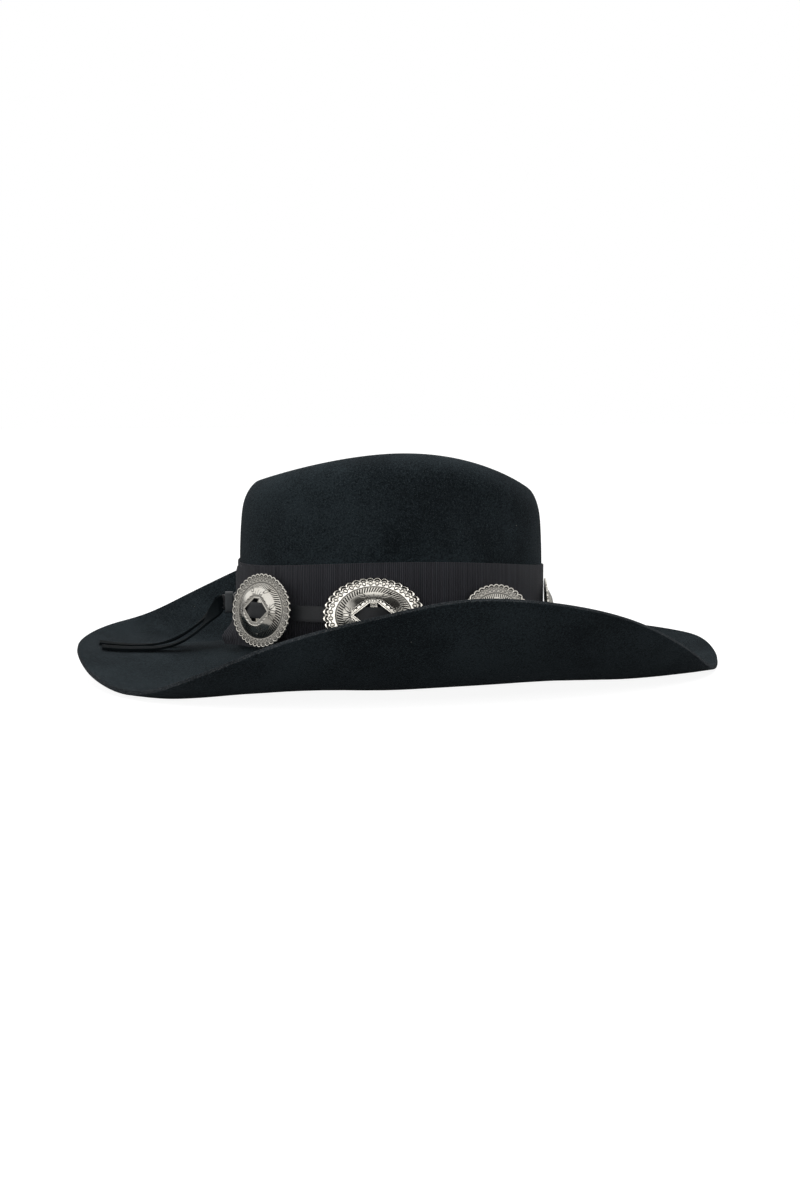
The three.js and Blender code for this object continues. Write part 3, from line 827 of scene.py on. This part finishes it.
def stamping(x, y, share, turn, scallop, pitch):
    """Height of the stamped pattern over the plain face."""
    radius = HALF_WIDTH * HALF_HEIGHT / np.hypot(HALF_HEIGHT * np.cos(turn), HALF_WIDTH * np.sin(turn))
    u = (scallop % 1 - 0.5) * pitch
    v = (share - SCALLOP_FOOT) / SCALLOP_REACH * SCALLOP_TOP
    from_scallop = np.hypot(u, v - SCALLOP_MIDDLE)
    outer = fade(v, *SCALLOP_MARKS_FADE)
    relief = mark(from_scallop, SCALLOP_ARC) * outer
    relief += mark(from_scallop, SCALLOP_CRESCENT) * outer
    relief += dimples(u, (share - CIRCLES_AT) * radius, pitch)
    relief -= rope(share, scallop / SCALLOPS)
    relief += mark((share - DOME_GROOVE_AT) * radius, DOME_GROOVE)
    relief += lip_and_stamps(np.abs(x), np.abs(y))
    return relief


def dimples(u, v, pitch):
    """A ring of small stamped circles, one inside each scallop, with a dot between each two."""
    from_circle = np.hypot(u, v)
    from_dot = np.hypot(np.abs(u) - pitch / 2, v)
    return mark(from_circle, CIRCLE) + mark(from_circle, CIRCLE_MIDDLE) + mark(from_dot, DOT)


def rope(share, way_round):
    """Depth of the slanting strokes round the foot of the dome, as in a twisted rope."""
    middle = (share - ROPE_MIDDLE) / ROPE_HALF_WIDTH
    stroke = (way_round * ROPE_STROKES + ROPE_SLANT * middle) % 1 - 0.5
    reach = fade(1 - np.abs(middle), *ROPE_END_FADE)
    return ROPE_DEPTH * (1 - fade(np.abs(stroke), *ROPE_STROKE_FADE)) * reach


def beside_hole(x, y):
    """Distance from the hole, distance from its slanting sides, and the way along them."""
    slope_x = 1 / HOLE["half_width"]
    slope_y = 1 / HOLE["slope_height"]
    size = math.hypot(slope_x, slope_y)
    beside = (x * slope_x + y * slope_y - 1) / size
    return np.maximum(beside, y - HOLE["half_height"]), beside, (x * slope_y - y * slope_x) / size


def lip_and_stamps(x, y):
    """The hole's rim, two lines beside it, a row of s-stamps and the fans at the hole's four ends."""
    from_hole, beside, along = beside_hole(x, y)
    relief = mark(from_hole, HOLE_RIM)
    for line in HOLE_LINES:
        relief += mark(from_hole, line)
    wave = S_STAMP["beside"] + S_STAMP["swing"] * np.sin(along * 2 * math.pi / S_STAMP["length"])
    inside = fade(along, *S_ROW_START) * (1 - fade(along, *S_ROW_END))
    broken = fade(np.abs((along / S_STAMP["length"]) % 1 - 0.5), *S_GAP)
    relief += mark(beside - wave, S_LINE) * inside * broken
    for start, end in RAYS:
        relief += mark(to_segment(x, y, start, end), RAY_LINE)
    for root, direction in LOOPS:
        relief += mark(from_loop(x, y, root, math.radians(direction)), LOOP_LINE)
    return relief


def from_loop(x, y, root, direction):
    """Distance of each place from a teardrop loop."""
    way_x = math.cos(direction)
    way_y = math.sin(direction)
    along = (x - root[0]) * way_x + (y - root[1]) * way_y - LOOP["start"] - LOOP["half_length"]
    aside = (y - root[1]) * way_x - (x - root[0]) * way_y
    return (np.hypot(along / LOOP["half_length"], aside / LOOP["half_width"]) - 1) * LOOP["half_width"]


def concho_sections(turn, scallop, pitch):
    """The share of each loop from the outline over the face to the hole and back, and if it is in front."""
    u = (scallop % 1 - 0.5) * pitch
    outline = SCALLOP_FOOT + SCALLOP_REACH * scallop_top(u) / SCALLOP_TOP
    hole = hole_share(turn)
    loops = [outline]
    start = outline
    for end, count in FACE_LOOPS:
        end = hole if end == 0 else np.full_like(turn, end)
        loops += [start + (end - start) * (step + 1) / count for step in range(count)]
        start = end
    front = [(share, True) for share in loops]
    steps_back = [step / (BACK_LOOPS - 1) for step in range(BACK_LOOPS)]
    back = [(hole + (outline - hole) * step, False) for step in steps_back]
    return front + back


def ring_tube(columns, loops):
    """A closed tube bent into a ring, and the column and the loop that each of its vertices is in."""
    bpy.ops.mesh.primitive_circle_add(vertices=columns, radius=1, fill_type="NOTHING")
    piece = bpy.context.object
    edit(piece, "SELECT")
    for _ in range(loops - 1):
        bpy.ops.mesh.extrude_region_move(TRANSFORM_OT_translate={"value": (0, 0, 1)})
    bpy.ops.mesh.select_all(action="SELECT")
    bpy.ops.mesh.region_to_loop()
    bpy.ops.mesh.bridge_edge_loops()
    leave_edit()
    x, y, z = places(piece).T
    column = np.round(np.arctan2(y, x) / (2 * math.pi) * columns).astype(int) % columns
    return piece, column, np.round(z).astype(int)


def set_tarnish(piece, amounts):
    """Stores how tarnished each vertex is, for the material."""
    layer = piece.data.attributes.new("tarnish", "FLOAT", "POINT")
    layer.data.foreach_set("value", amounts)


def concho_pattern(material):
    """One concho in its own frame, in metres: a ring of metal round the hole, shaped and stamped."""
    columns = SCALLOPS * COLUMNS_PER_SCALLOP
    turn, pitch = oval_turns(columns)
    scallop = np.arange(columns) / COLUMNS_PER_SCALLOP
    sections = concho_sections(turn, scallop, pitch)
    piece, column, loop = ring_tube(columns, len(sections))
    piece.name = piece.data.name = "concho"
    points = np.empty((columns, len(sections), 3))
    tarnish = np.zeros((columns, len(sections)))
    for index, (share, in_front) in enumerate(sections):
        x = HALF_WIDTH * share * np.cos(turn)
        y = HALF_HEIGHT * share * np.sin(turn)
        z = face_height(share, turn)
        if in_front:
            relief = stamping(x, y, share, turn, scallop, pitch)
            tarnish[:, index] = np.clip(-relief / TARNISH_FULL_AT, 0, 1) ** TARNISH_POWER
            z = z + STAMP_DEPTH * relief * fade(index, *STAMPED_LOOPS)
        else:
            z = z - BACK_BELOW
            tarnish[:, index] = TARNISH_BEHIND
        points[:, index] = np.column_stack([x, y, z])
    put(piece, points[column, loop] * MM)
    set_tarnish(piece, tarnish[column, loop])
    face_one_way(piece)
    bar = concho_bar()
    pick(piece)
    bar.select_set(True)
    bpy.ops.object.join()
    smooth(piece, SMOOTH["concho"])
    piece.data.materials.append(material)
    return piece


def concho_bar():
    """The flat bar soldered across the back, which the strap passes over."""
    bpy.ops.mesh.primitive_cube_add(size=1)
    bar = bpy.context.object
    sizes = np.array([BAR["width"], BAR["length"], BAR["thickness"]])
    put(bar, places(bar) * sizes * MM + [0, 0, BAR["middle"] * MM])
    modify(bar, "BEVEL", width=BAR_EDGE_ROUND * MM, segments=BAR_BEVEL_SEGMENTS)
    set_tarnish(bar, np.full(len(bar.data.vertices), TARNISH_ON_BAR))
    return bar


def concho_place(node):
    """Where a concho is: a matrix from its own frame to the hat's, found from the construction node."""
    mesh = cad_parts[node].data
    mesh.calc_loop_triangles()
    corners = np.array([[mesh.vertices[i].co for i in t.vertices] for t in mesh.loop_triangles])
    areas = np.array([t.area for t in mesh.loop_triangles])
    middles = corners.mean(axis=1)
    centre = np.average(middles, axis=0, weights=areas)
    spread = np.einsum("n,nij,nik->jk", areas, corners - centre, corners - centre)
    out, up, level = np.linalg.eigh(spread)[1].T
    side = np.array([centre[0] - OVAL.x, centre[1], 0])
    out = out * np.sign(out @ side)
    up = up * np.sign(up[2])
    level = np.cross(up, out)
    points = corners.reshape(-1, 3)
    low = [(points @ axis).min() for axis in (level, up, out)]
    high = [(points @ axis).max() for axis in (level, up, out)]
    origin = level * (low[0] + high[0]) / 2 + up * (low[1] + high[1]) / 2 + out * low[2]
    return Matrix([*np.column_stack([level, up, out, origin]).tolist(), [0, 0, 0, 1]])


def conchos(material):
    pattern = concho_pattern(material)
    for number in range(1, CONCHO_COUNT + 1):
        node = f"concho_{number}"
        piece = bpy.data.objects.new(f"silver_{node}", pattern.data.copy())
        SCENE.collection.objects.link(piece)
        piece.data.transform(concho_place(node))
        finish_piece(piece, None, node)
    bpy.data.objects.remove(pattern)


# Light, floor and camera


def soft_box(name, place, size, power):
    """A soft box that lights the hat but isn't mirrored by it."""
    lamp = bpy.data.lights.new(name, "AREA")
    lamp.shape = "RECTANGLE"
    lamp.size, lamp.size_y = size
    lamp.energy = power
    holder = bpy.data.objects.new(name, lamp)
    SCENE.collection.objects.link(holder)
    holder.visible_glossy = False
    holder.location = place
    holder.rotation_euler = (SOFT_BOX_TARGET - Vector(place)).to_track_quat("-Z", "Y").to_euler()


def bands(world, up, rows):
    """Brightness from straight down to straight up, by a smooth curve through its rows."""
    ramp = add(world, "FloatCurve", {"Value": up})
    curve = ramp.mapping.curves[0]
    ramp.mapping.use_clip = False
    curve.points[0].location = rows[0]
    curve.points[1].location = rows[-1]
    for place in rows[1:-1]:
        curve.points.new(*place)
    ramp.mapping.update()
    return ramp.outputs["Value"]


def room():
    """The world: white behind the hat, and soft bands of light and shade for lighting and mirroring."""
    world = bpy.data.worlds.new("studio")
    SCENE.world = world
    world.use_nodes = True
    backdrop = world.node_tree.nodes["Background"]
    way = add(world, "SeparateXYZ", {0: add(world, "TexCoord").outputs["Generated"]})
    up = remap(world, way.outputs["Z"], -1.0, 1.0)
    towards_camera = maths(world, "MULTIPLY", way.outputs["Y"], -1.0)
    frontwards = remap(world, towards_camera, *FRONT_LAMP["frontwards"])
    from_lamp = maths(world, "ABSOLUTE", maths(world, "SUBTRACT", up, FRONT_LAMP["up"]))
    lamp = remap(world, from_lamp, *FRONT_LAMP["reach"], 0.0, FRONT_LAMP["bright"])
    lamp = maths(world, "MULTIPLY", lamp, frontwards)
    to_the_back = maths(world, "MULTIPLY", way.outputs["X"], -1.0)
    backwards = remap(world, to_the_back, *BACK_WALL["backwards"])
    wall = remap(world, up, *BACK_WALL["up"], BACK_WALL["foot"], BACK_WALL["bright"])
    wall = maths(world, "MULTIPLY", wall, backwards)
    lit = maths(world, "MAXIMUM", bands(world, up, ROOM), maths(world, "MAXIMUM", lamp, wall))
    behind = remap(world, towards_camera, *PALE_ROOM["frontwards"], 1.0, 0.0)
    aside = maths(world, "ABSOLUTE", maths(world, "SUBTRACT", way.outputs["X"], CAMERA_SIDE))
    beside = remap(world, aside, *PALE_ROOM["sideways"])
    pale = remap(world, up, *PALE_ROOM["up"], PALE_ROOM["foot"], PALE_ROOM["bright"])
    pale = maths(world, "MULTIPLY", pale, maths(world, "MAXIMUM", behind, beside))
    mirrored = maths(world, "MAXIMUM", bands(world, up, MIRRORED), maths(world, "MAXIMUM", lamp, pale))
    path = add(world, "LightPath")
    lighting = add(world, "Mix", {0: path.outputs["Is Glossy Ray"], 2: lit, 3: mirrored}).outputs[0]
    brightness = add(world, "Mix", {0: path.outputs["Is Camera Ray"], 2: lighting, 3: SEEN_BEHIND})
    connect(world, brightness.outputs[0], backdrop.inputs["Strength"])
    backdrop.inputs["Color"].default_value = (1, 1, 1, 1)


def studio():
    """A pale floor in a soft studio room, with soft boxes overhead, in front and at the hat's back."""
    room()
    bpy.ops.mesh.primitive_plane_add(size=FLOOR_SIZE)
    floor = bpy.context.object
    floor.name = floor.data.name = "floor"
    material, shader = new_material("pale_floor")
    seen = add(material, "LightPath").outputs["Is Camera Ray"]
    glow = maths(material, "MULTIPLY", seen, FLOOR_GLOW)
    connect_all(material, shader, {**FLOOR_SHADER, "Emission Strength": glow})
    floor.data.materials.append(material)
    for name, (place, size, power) in SOFT_BOXES.items():
        soft_box(name, place, size, power)
    SCENE.view_settings.view_transform = "Standard"


def camera():
    """A camera that sees the hat as the photograph does, fitted to its outline there."""
    right = Vector((math.cos(LOOK_FROM_SIDE), math.sin(LOOK_FROM_SIDE), 0))
    back = Vector(
        (
            math.sin(LOOK_FROM_SIDE) * math.cos(LOOK_FROM_HEIGHT),
            -math.cos(LOOK_FROM_SIDE) * math.cos(LOOK_FROM_HEIGHT),
            math.sin(LOOK_FROM_HEIGHT),
        )
    )
    aim = LOOK_AT + right * ((PHOTO_MIDDLE[0] - LOOK_AT_PIXEL[0]) / PIXELS_PER_METRE)
    lens = bpy.data.cameras.new("camera")
    lens.sensor_fit = "VERTICAL"
    lens.sensor_height = SENSOR
    lens.lens = SENSOR * CAMERA_AWAY * PIXELS_PER_METRE / PHOTO_HEIGHT
    lens.clip_start = NEAREST_SEEN
    holder = bpy.data.objects.new("camera", lens)
    SCENE.collection.objects.link(holder)
    holder.location = aim + back * CAMERA_AWAY
    holder.rotation_euler = (-back).to_track_quat("-Z", "Y").to_euler()
    SCENE.camera = holder


leave_edit()
camera()
studio()
felt = felt_material("felt", **FELT_FACE)
felt_cut = felt_material("felt_cut_edge", **FELT_CUT)
grosgrain = ribbon_material()
strap_leather = leather_material("strap_leather", **STRAP_LEATHER)
painted_shade_loose_leather = leather_material("painted_shade_loose_leather", **LOOSE_LEATHER_PAINTED_SHADE)
painted_light_wrap_leather = leather_material("painted_light_wrap_leather", **WRAP_LEATHER_PAINTED_LIGHT)
felt_body(felt, felt_cut)
ribbon_band(grosgrain)
ribbon_end(grosgrain)
leather_piece("concho_strap", "leather_strap", strap_leather, painted_shade_loose_leather)
leather_piece("tie_wrap", "leather_wrap", painted_light_wrap_leather)
conchos(silver_material())
